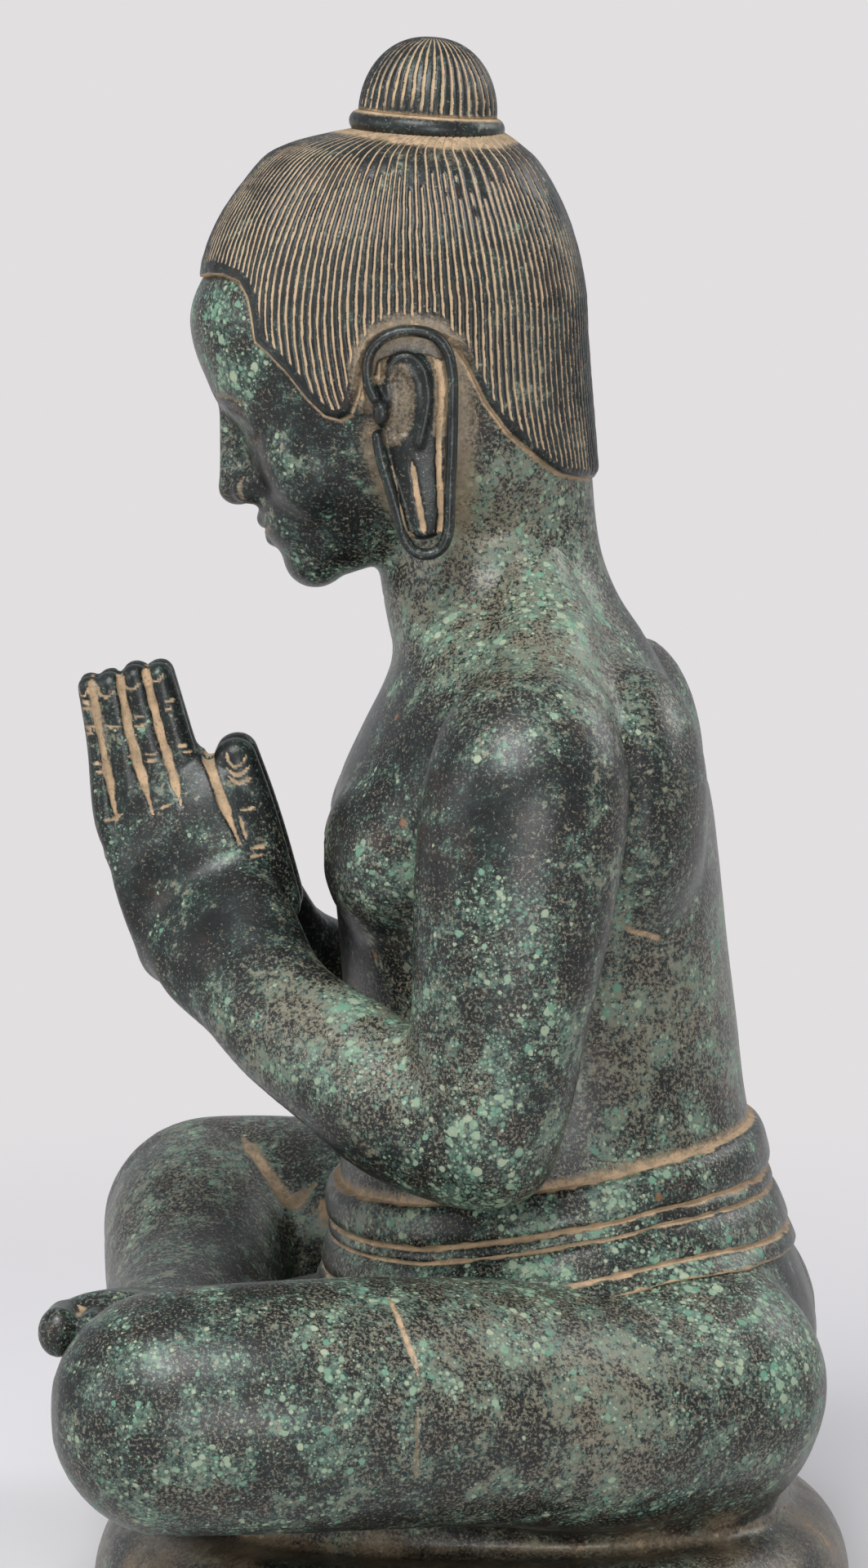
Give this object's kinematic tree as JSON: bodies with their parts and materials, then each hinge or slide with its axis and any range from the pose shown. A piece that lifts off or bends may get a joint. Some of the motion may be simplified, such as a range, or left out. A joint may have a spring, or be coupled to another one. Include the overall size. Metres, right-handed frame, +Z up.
{
  "type": "king statue",
  "caption": "Bronze statuette of a king seated cross-legged with bowed head and palms pressed together, on a low cushion base, for display on a shelf.",
  "frame": {"origin": "middle of the base's underside, at the centre of the figure's bounding box", "axes": "+Z up the figure; the figure faces -Y and its left side is at +X"},
  "size_m": [0.234, 0.1683, 0.3274],
  "materials": {
    "bronze": "dull waxed green and brown patina on cast bronze, with ochre dust in the grooves"
  },
  "bodies": {
    "root": {"king_statue": "bronze"}
  },
  "joints": []
}
